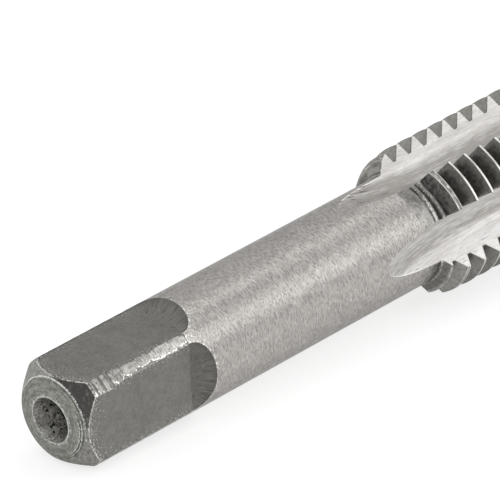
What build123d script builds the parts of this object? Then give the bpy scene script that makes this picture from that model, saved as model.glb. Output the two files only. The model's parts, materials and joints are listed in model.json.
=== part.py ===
"""Hand tap for an M12 x 1.75 right-hand thread: driving square, round shank and four-fluted cutting end, in one piece."""
from build123d import *
import math
import os

os.makedirs("parts", exist_ok=True)

# Shank and its driving square, measured from the very end of the tap
overall_length = 67.0
shank_diameter = 9.0
shank_length = 37.45
across_flats = 7.0
flat_length = 11.15
flat_runout_radius = 1.95

# End of the square: a slightly domed face, a bevel round it and a centre hole in it
face_diameter = 6.7
dome_height = 0.35
end_bevel_angle = 45.0
centre_rim_diameter = 3.6
centre_pilot_diameter = 1.6
centre_angle = 60.0
centre_pilot_depth = 1.2

# Thread form
thread_diameter = 12.0
pitch = 1.75
flank_angle = 60.0
groove_depth = 1.07
crest_flat = 0.22
thread_phase = 0.56

# Rear of the threaded end: a steep shoulder, then a slow rise to the full diameter
shoulder_diameter = 10.8
shoulder_angle = 62.0
rear_taper_length = 2.0

# Front of the threaded end: a tapered lead and a small bevel on the point
lead_length = 7.0
point_diameter = 9.8
point_bevel = 0.3

# Flutes: radial cutting face, round bottom, sloping heel, run out by a disc cutter.
# They stand in two opposite pairs, and the index angle is the one between the pairs.
flute_index_angle = 86.0
flute_opening_angle = 52.5
web_diameter = 5.8
flute_bottom_radius = 1.6
flute_cutter_radius = 36.0
flute_full_depth_offset = 4.7

# Sizes that follow from the ones above
shank_radius = shank_diameter / 2
thread_radius = thread_diameter / 2
face_radius = face_diameter / 2
shoulder_radius = shoulder_diameter / 2
point_radius = point_diameter / 2
half_square = across_flats / 2
half_flank = math.radians(flank_angle / 2)
groove_root_radius = thread_radius - groove_depth
end_bevel_slope = math.tan(math.radians(end_bevel_angle))
bevel_end = dome_height + (shank_radius - face_radius) / end_bevel_slope
shoulder_end = shank_length + (shoulder_radius - shank_radius) / math.tan(math.radians(shoulder_angle))
full_thread_start = shoulder_end + rear_taper_length
full_thread_end = overall_length - lead_length
flute_full_depth = shank_length + flute_full_depth_offset
flute_angles = (0, flute_index_angle, 180, 180 + flute_index_angle)
half_opening = math.radians(flute_opening_angle / 2)
reach = 2 * thread_radius


def blank():
    """Turned body along X: domed end, shank, shoulder, threaded end with its tapered lead."""
    outline = Polyline(
        (0, 0),
        (0, centre_rim_diameter / 2),
        (dome_height, face_radius),
        (bevel_end, shank_radius),
        (shank_length, shank_radius),
        (shoulder_end, shoulder_radius),
        (full_thread_start, thread_radius),
        (full_thread_end, thread_radius),
        (overall_length - point_bevel, point_radius),
        (overall_length, point_radius - point_bevel),
        (overall_length, 0),
        close=True,
    )
    return revolve(make_face(outline), Axis.X)


def centre_hole():
    """Cone that opens at the end face and narrows to a short pilot hole."""
    rim = centre_rim_diameter / 2
    pilot = centre_pilot_diameter / 2
    cone_depth = (rim - pilot) / math.tan(math.radians(centre_angle / 2))
    outline = Polyline(
        (-dome_height, 0),
        (-dome_height, rim),
        (0, rim),
        (cone_depth, pilot),
        (cone_depth + centre_pilot_depth, pilot),
        (cone_depth + centre_pilot_depth, 0),
        close=True,
    )
    return revolve(make_face(outline), Axis.X)


def flat_cutter():
    """Slab above one flat of the square, ending in the round run-out of the mill that cut it."""
    side = Polyline(
        (-reach, half_square),
        (flat_length, half_square),
        (flat_length, half_square + flat_runout_radius),
        (flat_length, half_square + reach),
        (-reach, half_square + reach),
        close=True,
    )
    slab = extrude(Plane.XZ * make_face(side), amount=reach, both=True)
    mill_centre = (flat_length, 0, half_square + flat_runout_radius)
    mill = Plane(origin=mill_centre, z_dir=(0, 1, 0)) * Cylinder(flat_runout_radius, 2 * reach)
    return slab + mill


def flute_section():
    """Section of one flute in the plane across the axis where it reaches full depth, opening towards +Z."""
    centre_height = web_diameter / 2 + flute_bottom_radius
    centre_side = (flute_bottom_radius - centre_height * math.sin(half_opening)) / math.cos(half_opening)
    face_foot = (
        centre_side - flute_bottom_radius * math.cos(half_opening),
        centre_height - flute_bottom_radius * math.sin(half_opening),
    )
    heel_edge = (thread_radius * math.sin(half_opening), thread_radius * math.cos(half_opening))
    run = heel_edge[0] - centre_side
    rise = heel_edge[1] - centre_height
    distance = math.hypot(run, rise)
    heel_slope = math.atan2(rise, run) + math.asin(flute_bottom_radius / distance)
    heel_length = math.sqrt(distance**2 - flute_bottom_radius**2)
    heel_foot = (
        heel_edge[0] - heel_length * math.cos(heel_slope),
        heel_edge[1] - heel_length * math.sin(heel_slope),
    )
    bottom = (centre_side, centre_height - flute_bottom_radius)
    face_top = (-reach * math.tan(half_opening), reach)
    heel_top = (heel_edge[0] + (reach - heel_edge[1]) / math.tan(heel_slope), reach)
    edges = [
        Line(face_top, face_foot),
        ThreePointArc(face_foot, bottom, heel_foot),
        Line(heel_foot, heel_top),
        Line(heel_top, face_top),
    ]
    across = Plane(origin=(flute_full_depth, 0, 0), x_dir=(0, -1, 0), z_dir=(-1, 0, 0))
    return across * Face(Wire(edges))


def flute_cutter():
    """Straight flute to the point, with the arc of the disc cutter that lifts it out of the shank."""
    section = flute_section()
    straight = extrude(section, -(overall_length - flute_full_depth + reach))
    disc_axis = Axis((flute_full_depth, 0, web_diameter / 2 + flute_cutter_radius), (0, 1, 0))
    lift = thread_radius - web_diameter / 2
    sweep_angle = 1.5 * math.degrees(math.acos(1 - lift / flute_cutter_radius))
    return straight + revolve(section, disc_axis, sweep_angle)


def groove_turn():
    """One right-hand turn of the thread groove, starting in the middle of the flute on top."""
    half_crest_gap = (pitch - crest_flat) / 2
    overcut = crest_flat / 2
    half_root = half_crest_gap - groove_depth * math.tan(half_flank)
    half_top = half_crest_gap + overcut * math.tan(half_flank)
    section = Polyline(
        (-half_root, groove_root_radius),
        (half_root, groove_root_radius),
        (half_top, thread_radius + overcut),
        (-half_top, thread_radius + overcut),
        close=True,
    )
    path = Helix(pitch, pitch, thread_radius, direction=(1, 0, 0))
    return sweep(Plane.XZ * make_face(section), path=path, is_frenet=True)


def thread_grooves():
    """Turns of the groove from behind the shoulder to past the point."""
    turn = groove_turn()
    start = shank_length + thread_phase - pitch
    turns = math.ceil((overall_length + pitch - start) / pitch)
    return [Pos(X=start + pitch * k) * turn for k in range(turns)]


def outline_radius(position):
    """Radius of the threaded end's crests at a distance from the end of the tap."""
    if position < full_thread_start:
        share = (position - shoulder_end) / rear_taper_length
        return shoulder_radius + share * (thread_radius - shoulder_radius)
    return thread_radius


def rest_contacts():
    """Places, as distance along the axis and depth below it, where a crest meets the two lowest land edges."""
    contacts = []
    first_crest = shank_length + thread_phase + pitch / 2
    for land_edge in (math.pi - half_opening, math.pi + half_opening):
        for turn in range(math.ceil(2 + rear_taper_length / pitch)):
            middle = first_crest + pitch * (turn + land_edge / (2 * math.pi))
            for position in (middle - crest_flat / 2, middle + crest_flat / 2):
                if position > shoulder_end:
                    contacts.append((position, outline_radius(position) * math.cos(half_opening)))
    return contacts


def resting_tilt():
    """Angle in degrees at which the tap lies on the end of its square and on two land edges."""
    heel_position = dome_height + (half_square - face_radius) / end_bevel_slope
    slopes = [(depth - half_square) / (position - heel_position) for position, depth in rest_contacts()]
    return math.degrees(math.atan(max(slopes)))


def thread_tap():
    """The whole tap along X, a flat of the square and a flute facing down."""
    body = blank() - centre_hole()
    body -= [Rot(X=90 * k) * flat_cutter() for k in range(4)]
    body -= [Rot(X=angle) * flute_cutter() for angle in flute_angles]
    return body - thread_grooves()


def laid_down(body):
    """The tap as it comes to rest, with the middle of its footprint at the origin."""
    tilted = Rot(Y=-resting_tilt()) * body
    box = tilted.bounding_box()
    return Pos(-box.center().X, -box.center().Y, -box.min.Z) * tilted


export_step(laid_down(thread_tap()), "parts/thread_tap.step")
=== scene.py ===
"""The looks of an M12 hand tap that lies on a pale floor.

The tap is one steel body with turned, milled, hardened and ground surfaces. Its sizes are in millimetres
until the mesh is made, and angles about its axis are in radians from up towards the front.
"""

import json
import logging
import math
from collections.abc import Callable
from dataclasses import dataclass, field, fields
from enum import IntEnum

import bpy
import numpy as np
from mathutils import Euler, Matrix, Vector


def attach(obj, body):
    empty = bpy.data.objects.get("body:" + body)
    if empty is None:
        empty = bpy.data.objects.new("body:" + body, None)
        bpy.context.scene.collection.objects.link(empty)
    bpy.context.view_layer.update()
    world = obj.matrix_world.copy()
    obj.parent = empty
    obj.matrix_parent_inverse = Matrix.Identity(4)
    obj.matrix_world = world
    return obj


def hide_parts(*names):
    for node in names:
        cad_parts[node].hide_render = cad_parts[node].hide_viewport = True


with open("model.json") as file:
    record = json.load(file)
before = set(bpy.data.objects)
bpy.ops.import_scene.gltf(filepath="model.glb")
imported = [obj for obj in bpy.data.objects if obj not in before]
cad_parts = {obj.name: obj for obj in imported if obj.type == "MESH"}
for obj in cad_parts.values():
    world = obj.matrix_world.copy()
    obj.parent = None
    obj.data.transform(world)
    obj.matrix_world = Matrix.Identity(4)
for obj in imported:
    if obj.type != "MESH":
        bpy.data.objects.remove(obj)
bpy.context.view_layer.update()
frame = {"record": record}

LOG = logging.getLogger("thread_tap")
MILLIMETRE = 0.001
NODE = "thread_tap"
FULL_TURN = 2 * math.pi
QUARTERS = math.pi / 2 * np.arange(4)
# Steps of halving that bring a bound down to a float's precision
HALVINGS = 42
# Points closer together than this, in millimetres, are one point of the mesh
WELD_GRID = 1e-4
SHARP_BEND = math.radians(30)


class Surface(IntEnum):
    """The tap's surfaces, told apart by how each was made."""

    CENTRE_HOLE = 0
    END_FACE = 1
    WORN_EDGE = 2
    END_BEVEL = 3
    FLAT = 4
    FLAT_RUNOUT = 5
    CORNER_LAND = 6
    SHANK = 7
    COLLAR = 8
    THREAD = 9
    BLUNT_CREST = 10
    CREST = 11
    FLUTE = 12
    POINT = 13


# Surfaces that pass into each other without an edge
SMOOTH_PAIRS = ((Surface.FLAT, Surface.FLAT_RUNOUT), (Surface.SHANK, Surface.COLLAR))


@dataclass(frozen=True)
class TapFrame:
    """Where the tap's own axis lies. Distances along it are counted from the very end of the square."""

    start: np.ndarray
    along: np.ndarray

    @classmethod
    def from_record(cls, shank_middle: float) -> "TapFrame":
        """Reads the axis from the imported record's shank mount.

        Args:
            shank_middle: The mount's distance from the end of the square, in millimetres.

        Returns:
            The frame with its start at the end of the square.
        """
        mount = next(m for m in frame["record"]["mounts"] if m["name"] == "shank")
        back = np.array(mount["axis"], float)
        back /= np.linalg.norm(back)
        middle = np.array(mount["pos_m"], float) / MILLIMETRE
        return cls(middle + back * shank_middle, -back)

    @property
    def up(self) -> np.ndarray:
        """The direction of angle 0, at right angles to the axis and as near to upright as it goes."""
        return np.array((-self.along[2], 0.0, self.along[0]))

    def points(self, along: np.ndarray, angle: np.ndarray, radius: np.ndarray) -> np.ndarray:
        """Places points by cylinder coordinates: start + axis * along + radius * (up * cos + front * sin).

        Args:
            along: Distances along the axis.
            angle: Angles in radians from up towards the front.
            radius: Distances from the axis.

        Returns:
            The points in metres, with x, y and z last.
        """
        front = np.array((0.0, -1.0, 0.0))
        outward = np.multiply.outer(np.cos(angle), self.up) + np.multiply.outer(np.sin(angle), front)
        flat = self.start + np.multiply.outer(along, self.along) + radius[..., None] * outward
        return flat * MILLIMETRE

    def own_coordinates(self) -> dict[str, tuple[float, float, float]]:
        """Settings of a Mapping node from Object coordinates to millimetres along and across the axis."""
        shift = (self.start @ self.along, self.start[1], self.start @ self.up)
        tilt = math.atan2(self.along[2], self.along[0])
        return {
            "Location": tuple(-float(v) for v in shift),
            "Rotation": (0.0, tilt, 0.0),
            "Scale": (1 / MILLIMETRE,) * 3,
        }


@dataclass
class Rings:
    """Rows of points round the axis, with faces between each row and the next. The last point closes a row.

    Each point also carries how much dark scale and painted shade lies on it, how worn it is, painted
    highlights included, and its place along and across the lines that the cutter left, in millimetres.
    """

    along: np.ndarray
    angle: np.ndarray
    radius: np.ndarray
    scale_left: np.ndarray
    worn: np.ndarray
    along_cut: np.ndarray
    across_cut: np.ndarray
    surface: np.ndarray

    @classmethod
    def made(
        cls,
        along: np.ndarray,
        angle: np.ndarray,
        radius: np.ndarray,
        surface: np.ndarray,
        scale: np.ndarray | float = 0.0,
        worn: np.ndarray | float = 0.0,
        cut: tuple[np.ndarray | float, np.ndarray | float] = (0.0, 0.0),
    ) -> "Rings":
        """Spreads each value over all the rows and columns."""
        values = np.broadcast_arrays(along, angle, radius, scale, worn, *cut)
        shape = values[0].shape
        return cls(*values, np.broadcast_to(surface, (shape[0], shape[1] - 1)))

    @classmethod
    def stacked(cls, parts: list["Rings"]) -> "Rings":
        """Joins runs of rows, in order, into one."""
        return cls(*(np.concatenate([getattr(part, one.name) for part in parts]) for one in fields(cls)))

    def dressed(self, surface: np.ndarray, scale: np.ndarray, worn: np.ndarray) -> "Rings":
        """Gives the same points another surface, scale and wear."""
        cut = (self.along_cut, self.across_cut)
        return Rings.made(self.along, self.angle, self.radius, surface, scale, worn, cut)


@dataclass(frozen=True)
class Columns:
    """How many strips of faces go across each flute and land, and the flat and corner in line with them."""

    flutes: int = 24
    lands: int = 20

    def joined(self, flute: np.ndarray, land: np.ndarray, turn: float = 0.0) -> np.ndarray:
        """Lays four flutes and four lands, each with its two edges, side by side round the axis.

        Args:
            flute: Values of shape (rows, 4, flutes + 1).
            land: Values of shape (rows, 4, lands + 1).
            turn: What is added to the first column's value for the closing one.

        Returns:
            Values of shape (rows, 4 * (flutes + lands) + 1).
        """
        sectors = np.concatenate([flute[..., :-1], land[..., :-1]], axis=-1)
        open_rows = sectors.reshape(len(sectors), -1)
        return np.concatenate([open_rows, open_rows[:, :1] + turn], axis=1)

    def surfaces(self, flute: np.ndarray, land: np.ndarray) -> np.ndarray:
        """Lays out the surfaces of the strips, from one value for each row's flutes and lands."""
        shape = (max(len(flute), len(land)), 4)
        across_flute = np.broadcast_to(flute[:, None, None], (*shape, self.flutes))
        across_land = np.broadcast_to(land[:, None, None], (*shape, self.lands))
        return np.concatenate([across_flute, across_land], axis=-1).reshape(shape[0], -1)


def column(values: float | list[float] | np.ndarray) -> np.ndarray:
    """Stands a row of values up, one for each row of points."""
    return np.atleast_1d(np.asarray(values, float))[:, None]


def settle(low: np.ndarray, high: np.ndarray, above: Callable[[np.ndarray], np.ndarray]) -> np.ndarray:
    """Finds where a condition starts to hold between two bounds, by halving the gap between them.

    Args:
        low: Where the condition doesn't hold.
        high: Where it holds.
        above: The condition, for whole arrays.

    Returns:
        The values at which it starts to hold.
    """
    for _ in range(HALVINGS):
        middle = (low + high) / 2
        held = above(middle)
        low = np.where(held, low, middle)
        high = np.where(held, middle, high)
    return (low + high) / 2


def ease(value: np.ndarray, start: float, end: float) -> np.ndarray:
    """Rises from 0 at the start to 1 at the end, by the cubic 3x² - 2x³."""
    share = np.clip((value - start) / (end - start), 0, 1)
    return share**2 * (3 - 2 * share)


def facing(angle: np.ndarray, degrees: float, start: float, full: float) -> np.ndarray:
    """1 on the tap's side at an angle in degrees and 0 away from it: the cosine between them, eased."""
    return ease(np.cos(angle - math.radians(degrees)), start, full)


def bell(value: np.ndarray, middle: float, width: float) -> np.ndarray:
    """Bell curve exp(-x²), with x as the distance from its middle in widths."""
    return np.exp(-(((value - middle) / width) ** 2))


def spread_rows(rows: np.ndarray, angle: np.ndarray) -> np.ndarray:
    """Shapes one value for each row so that it goes with angles of shape (rows, ...)."""
    return np.reshape(rows, (-1, *(1,) * (np.ndim(angle) - 1)))


def square_rows(rows: np.ndarray) -> Callable[[np.ndarray, np.ndarray], np.ndarray]:
    """Gives the place of rows that stand square to the axis, whatever their land and angle."""
    return lambda _, angle: spread_rows(rows, angle) + np.zeros(angle.shape[1:])


@dataclass(frozen=True)
class Band:
    """A stretch that fades in from its start until it is full, and out from where it wanes to its end."""

    start: float
    full: float
    waning: float
    end: float

    def share(self, value: np.ndarray) -> np.ndarray:
        """1 within the stretch and 0 outside it, eased in between."""
        return ease(value, self.start, self.full) * (1 - ease(value, self.waning, self.end))


# Lands by their angles in degrees. The low one, below the second flute, kept its dark skin, and its collar
# gets painted shade where it faces down.
MIDDLE_LAND = Band(10, 20, 66, 76)
LOW_LAND = Band(95, 108, 165, 185)
BACK_LAND = Band(185, 200, 250, 262)


@dataclass(frozen=True)
class TurnedRing:
    """A ring that turning left on the end face: a bell curve across it, and a cosine hump along it.

    The middle and the reach of the hump are angles in degrees.
    """

    radius: float
    middle: float
    reach: float
    strength: float = 1.0
    width: float = 0.035

    def mark(self, radius: np.ndarray, angle: np.ndarray) -> np.ndarray:
        """How strong the ring is at points of the face."""
        off = np.degrees(np.abs((angle - math.radians(self.middle) + math.pi) % FULL_TURN - math.pi))
        hump = np.cos(np.clip(off / self.reach, 0, 1) * math.pi / 2)
        return self.strength * bell(radius, self.radius, self.width) * hump


@dataclass(frozen=True)
class Facet:
    """A hollow worn into a corner of the square, with the bright patch that its wear left.

    The hollow's depth follows the parabola 1 - x² along the corner. The patch is the region in which the
    fourth power of that x and the cube of the share across the corner add up to less than 1.
    """

    start: float
    end: float
    depth: float
    middle: float = 0.5
    reach: float = 0.56
    unevenness: float = 0.25
    border: tuple[float, float] = (0.8, 1.15)

    def place(self, along: np.ndarray) -> np.ndarray:
        """Distance from the hollow's middle, with 1 at its ends."""
        return (2 * along - self.start - self.end) / (self.end - self.start)

    def hollow(self, along: np.ndarray) -> np.ndarray:
        """Depth of the hollow at distances along the axis."""
        return self.depth * np.clip(1 - self.place(along) ** 2, 0, None)

    def span(self, along: np.ndarray, share: np.ndarray) -> np.ndarray:
        """How far out in the patch a point lies: 1 at its border, made uneven by a product of sines."""
        uneven = self.unevenness * np.sin(13 * along + 5 * share) * np.sin(7.3 * along - 9 * share + 1)
        return np.abs(self.place(along)) ** 4 + np.abs((share - self.middle) / self.reach) ** 3 + uneven

    def patch(self, along: np.ndarray, share: np.ndarray) -> np.ndarray:
        """How bright the patch is at distances along the axis and shares across the corner."""
        return 1 - ease(self.span(along, share), *self.border)

    def rim(self, along: np.ndarray, share: np.ndarray) -> np.ndarray:
        """How strong the painted highlight along the patch's border is: most along its lower border."""
        return Band(0.2, 0.7, 0.95, 1.15).share(self.span(along, share)) * ease(share, 0.45, 0.75)


@dataclass(frozen=True)
class WornChain:
    """Seeded hollows of random lengths, one after another along a corner, for the corners the photo hides."""

    seed: int = 12
    most: int = 8
    lengths: tuple[float, float] = (0.4, 2.4)
    middles: tuple[float, float] = (0.4, 0.55)
    depth: float = 0.012
    reach: float = 0.46
    gap: float = 0.06
    lead_in: float = 0.2
    shortest: float = 0.5
    margin: float = 0.15

    def corners(self, start: float, end: float, count: int) -> list[tuple[Facet, ...]]:
        """Draws the hollows of some corners.

        Args:
            start: Where the corners start, as distance along the axis.
            end: Where they end.
            count: Number of corners.

        Returns:
            The hollows of each corner.
        """
        draw = np.random.default_rng(self.seed)
        chains = []
        for _ in range(count):
            ends = np.append(start - self.lead_in, start + np.cumsum(draw.uniform(*self.lengths, self.most)))
            ends = np.append(ends[ends < end - self.shortest], end - self.margin)
            middles = draw.uniform(*self.middles, len(ends))
            spans = zip(ends[:-1], ends[1:], middles)
            chains.append(tuple(Facet(a, b - self.gap, self.depth, c, self.reach) for a, b, c in spans))
        return chains


@dataclass(frozen=True)
class DrivingSquare:
    """End of the shank with its four flats, the bevel, the domed end face and the centre hole."""

    columns: Columns
    shank_radius: float = 4.5
    half_across: float = 3.5
    flat_length: float = 11.15
    mill_radius: float = 1.95
    face_radius: float = 3.35
    dome_height: float = 0.35
    hole_rim: float = 1.8
    hole_pilot: float = 0.8
    cone_depth: float = 1.732
    hole_depth: float = 2.932
    edge_wear: float = 0.035
    runout_fan: float = 9.4
    runout_burnish: float = 0.8
    end_crush: float = 0.13
    crushed_to: float = 4.4
    crush_fade: float = 1.3
    groove_depth: float = 0.03
    pit_depth: float = 0.02
    pit_limit: float = 1.6
    pit_seed: int = 5
    hole_rows: int = 22
    face_rows: int = 56
    crushed_rows: int = 43
    flat_rows: int = 61
    runout_rows: int = 15
    facing_corner: tuple[Facet, ...] = (
        Facet(1.2, 1.62, 0.0, 0.5, 0.7),
        Facet(1.86, 2.3, 0.02, 0.5, 0.7),
        Facet(2.6, 2.98, 0.015, 0.5, 0.7),
        Facet(3.38, 4.46, 0.03, 0.46, 0.56),
        Facet(4.46, 5.92, 0.02, 0.47, 0.44),
        Facet(5.9, 7.3, 0.015, 0.42, 0.42),
        Facet(7.2, 10.98, 0.01, 0.47, 0.47),
    )
    hidden_corners: WornChain = WornChain()
    dark_rings: tuple[TurnedRing, ...] = (
        TurnedRing(3.17, 55, 60),
        TurnedRing(2.93, 105, 60),
        TurnedRing(3.1, 120, 50, 0.8),
        TurnedRing(2.2, 60, 70, 0.5),
    )
    light_rings: tuple[TurnedRing, ...] = (TurnedRing(3.02, 100, 55), TurnedRing(2.82, 110, 55, 0.8))

    @property
    def bevel_end(self) -> float:
        """Distance from the end at which the 45 degree bevel meets the round shank."""
        return self.dome_height + self.shank_radius - self.face_radius

    @property
    def corner(self) -> float:
        """Angle from the middle of a flat to its edge on an unworn corner."""
        return math.acos(self.half_across / self.shank_radius)

    def corners(self) -> list[tuple[Facet, ...]]:
        """Facets of the four corners: those in the photo, and three seeded chains of hollows like them."""
        return [self.facing_corner, *self.hidden_corners.corners(self.bevel_end, self.flat_length, 3)]

    def wear(self, along: np.ndarray) -> np.ndarray:
        """Depth worn off the four corners: the crushed end of the one in front and the sum of the hollows.

        Args:
            along: Distances from the end, of shape (rows, 1).

        Returns:
            Depths of shape (rows, 4).
        """
        hollows = [sum(facet.hollow(along) for facet in chain) for chain in self.corners()]
        crushed = self.end_crush * (1 - ease(along, self.crushed_to - self.crush_fade, self.crushed_to))
        along_middle = self.bright(along, np.full((1, 1, 1), 0.5))[:, 0]
        grooves = self.groove_depth * (1 - along_middle) * (crushed > 0)
        hollows[0] = hollows[0] + crushed + grooves
        return np.concatenate(hollows, axis=1)

    def bright(self, along: np.ndarray, share: np.ndarray, look: Callable = Facet.patch) -> np.ndarray:
        """Brightness of the corners: the brightest patch, or the strongest painted highlight along a rim, at
        each point.

        Args:
            along: Distances from the end, of shape (rows, 1).
            share: Shares across the corners, of shape (1, 1, columns).
            look: The facet's method that is asked.

        Returns:
            Values from 0 to 1, of shape (rows, 4, columns).
        """
        rows = along[..., None]
        looks = [np.max([look(f, rows, share) for f in chain], axis=0) for chain in self.corners()]
        return np.concatenate(looks, axis=1)

    def around(self, along: np.ndarray) -> tuple[np.ndarray, np.ndarray, np.ndarray]:
        """Angles of the columns where the corners have the wear of these distances.

        Args:
            along: Distances from the end, of shape (rows, 1).

        Returns:
            The angles on the flats, packed closer towards their edges by a sine, the angles on the
            corners, evenly spaced, and the corners' radii.
        """
        corner_radius = self.shank_radius - self.wear(along)
        edge = np.arccos(self.half_across / corner_radius)
        before = np.roll(edge, 1, axis=1)
        share = np.sin(np.linspace(-1, 1, self.columns.flutes + 1) * math.pi / 2)
        middle = QUARTERS + (edge - before) / 2
        flat = middle[..., None] + (edge + before)[..., None] / 2 * share
        width = math.pi / 2 - 2 * edge
        land = (QUARTERS + edge)[..., None] + width[..., None] * np.linspace(0, 1, self.columns.lands + 1)
        return flat, land, corner_radius

    def bevel_edge(self, flat: np.ndarray) -> tuple[np.ndarray, np.ndarray]:
        """Where the bevel's cone meets a flat: the hyperbola of the flat's points that lie on the cone.

        Args:
            flat: Angles on the flats, of shape (rows, 4, columns).

        Returns:
            Distance along the axis and radius of each point.
        """
        off_middle = flat - QUARTERS[:, None]
        radius = self.half_across / np.cos(off_middle)
        return self.dome_height + radius - self.face_radius, radius

    def hole(self) -> Rings:
        """Centre hole from its bottom to its smooth rim: a pilot, then a cone pitted by tearing and rust."""
        flat, land, _ = self.around(column(self.bevel_end))
        angle = self.columns.joined(flat, land, FULL_TURN)
        cone = np.linspace(0, 1, self.hole_rows)
        depth = np.concatenate([[self.hole_depth] * 2, self.cone_depth * (1 - cone)])
        wall = self.hole_pilot + (self.hole_rim - self.hole_pilot) * cone
        radius = np.concatenate([[0, self.hole_pilot], wall])
        on_cone = column((radius > 0) * (depth < self.hole_depth))
        inwards = column(depth) - 0.25 * facing(angle, 160, 0.1, 0.8)
        pits = self.pit_depth * self.pits(len(depth), angle.shape[1]) * ease(inwards, 0.15, 0.5)
        radius = column(radius) + pits * on_cone
        rim = 1 - ease(inwards, 0.04, 0.25)
        return Rings.made(column(depth), angle, radius, np.array(Surface.CENTRE_HOLE), worn=rim)

    def pits(self, rows: int, columns: int) -> np.ndarray:
        """Seeded noise that closes round the hole: random values, each averaged with its neighbours."""
        noise = np.random.default_rng(self.pit_seed).normal(size=(rows, columns - 1))
        for reach in (1, 2, 1):
            noise = (np.roll(noise, reach, 1) + 2 * noise + np.roll(noise, -reach, 1)) / 4
            noise[1:-1] = (noise[:-2] + 2 * noise[1:-1] + noise[2:]) / 4
        noise /= noise.std()
        closed = np.concatenate([noise, noise[:, :1]], axis=1)
        return np.clip(closed, -self.pit_limit, self.pit_limit)

    def end_face(self) -> Rings:
        """Domed end face: a parabola from the hole's rim to the bevel, with rings left by turning."""
        flat, land, _ = self.around(column(self.bevel_end))
        angle = self.columns.joined(flat, land, FULL_TURN)
        rim = self.hole_rim + self.edge_wear
        radius = column(np.linspace(rim, self.face_radius - self.edge_wear, self.face_rows))
        share = (radius - self.hole_rim) / (self.face_radius - self.hole_rim)
        dome = self.dome_height * (0.35 * share + 0.65 * share**2)
        surface = np.full((self.face_rows, 1), Surface.END_FACE)
        surface[-1] = Surface.WORN_EDGE
        outer = radius > self.face_radius - 2 * self.edge_wear
        dark = sum(ring.mark(radius, angle) for ring in self.dark_rings)
        # Painted shade: the face's outer rim is darker on its low back side.
        dark += facing(angle, 250, 0.1, 0.6) * outer
        light = sum(ring.mark(radius, angle) for ring in self.light_rings)
        light += self.rim_wear(angle) * outer
        hole_edge = 1 - ease(radius, rim + 0.02, rim + 0.09)
        light += hole_edge * (0.75 + 0.25 * np.cos(angle)) + 0.35 * (1 - ease(radius, rim, rim + 0.45))
        return Rings.made(dome, angle, radius, surface, np.clip(dark, 0, 1), np.clip(light, 0, 1))

    def rim_wear(self, angle: np.ndarray) -> np.ndarray:
        """Wear of the rims: a cosine that is highest on top, less a bell curve at the lower front."""
        return 0.42 + 0.48 * np.cos(angle - math.radians(10)) - 0.25 * bell(angle, 1.25, 0.5)

    def bevel(self) -> Rings:
        """Bevel from the end face's rim to the edges of the flats and corners, with its worn edge strips."""
        flat, land, corner_radius = self.around(column(self.bevel_end))
        flat_along, flat_radius = self.bevel_edge(flat)
        land_radius = np.broadcast_to(corner_radius[..., None], land.shape)
        land_along = self.dome_height + land_radius - self.face_radius
        edge_radius = self.columns.joined(flat_radius, land_radius)
        edge_along = self.columns.joined(flat_along, land_along)
        angle = self.columns.joined(flat, land, FULL_TURN)
        start_along = self.dome_height + self.edge_wear
        start_radius = self.face_radius + self.edge_wear
        share = column([0, 0.25, 0.5, 0.75, 0.98, 1])
        run = edge_radius - start_radius - self.edge_wear
        radius = start_radius + run * share
        along = start_along + (edge_along - start_along - self.edge_wear) * share
        surface = np.full((len(share), 1), Surface.END_BEVEL)
        surface[-1] = Surface.WORN_EDGE
        off_corner = np.abs(np.degrees(angle) - 45)
        worn = np.where(share == 1, 0.75, self.rim_wear(angle) * (share == 0))
        # Painted shade: a painted dark reflection at the bevel's corner at 45 degrees, and the bevel darker
        # on its low front side; its outer edge strip is left out.
        lowest = 0.35 * facing(angle, 140, 0.3, 0.7)
        shade_and_skin = np.where(share == 1, 0, np.maximum(1 - ease(off_corner, 34, 50), lowest))
        return Rings.made(along, angle, radius, surface, shade_and_skin, worn)

    def flats(self) -> Rings:
        """The four flats and the worn corners between them, from the bevel to the flats' ends."""
        first = self.bevel_end + self.edge_wear
        near = np.linspace(first, self.crushed_to, self.crushed_rows, endpoint=False)
        far = np.linspace(self.crushed_to, self.flat_length, self.flat_rows, endpoint=False)
        corner_along = column([*near, *far])
        flat, land, corner_radius = self.around(corner_along)
        start, radius = self.bevel_edge(flat)
        share = (corner_along - first) / (self.flat_length - first)
        start = start + self.edge_wear
        flat_along = start + (self.flat_length - start) * share[..., None]
        along = self.columns.joined(flat_along, np.broadcast_to(corner_along[..., None], land.shape))
        land_radius = np.broadcast_to(corner_radius[..., None], land.shape)
        angle = self.columns.joined(flat, land, FULL_TURN)
        rows = len(corner_along)
        surface = self.columns.surfaces(np.array([Surface.FLAT]), np.full(rows, Surface.CORNER_LAND))
        across = np.linspace(0, 1, self.columns.lands + 1)[None, None, :]
        bruised = 0.28 * (1 - ease(corner_along, 6.5, 8))[..., None]
        # Scale outside the corners' bright patches, with painted shade in the grooves between them.
        dull = np.maximum(1 - self.bright(corner_along, across), bruised)
        far_edge = bell(self.shank_radius * (flat - flat[..., :1]), 0, 0.09)
        far_edge = far_edge * np.array([0.8, 0, 0, 0])[:, None]
        scale = self.columns.joined(far_edge, dull)
        near_end = 0.75 * np.exp(-(flat_along - start) / 1.1)
        near_corner = (0.6 - 0.75 * far_edge) * np.clip(1 - (radius_gap(flat) / 0.7), 0, 1)
        # Painted highlights along the patches' lower borders, carried as wear.
        rims = self.bright(corner_along, across, Facet.rim)
        worn = self.columns.joined(np.maximum(near_end, near_corner), rims)
        return Rings.made(along, angle, self.columns.joined(radius, land_radius), surface, scale, worn)

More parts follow.
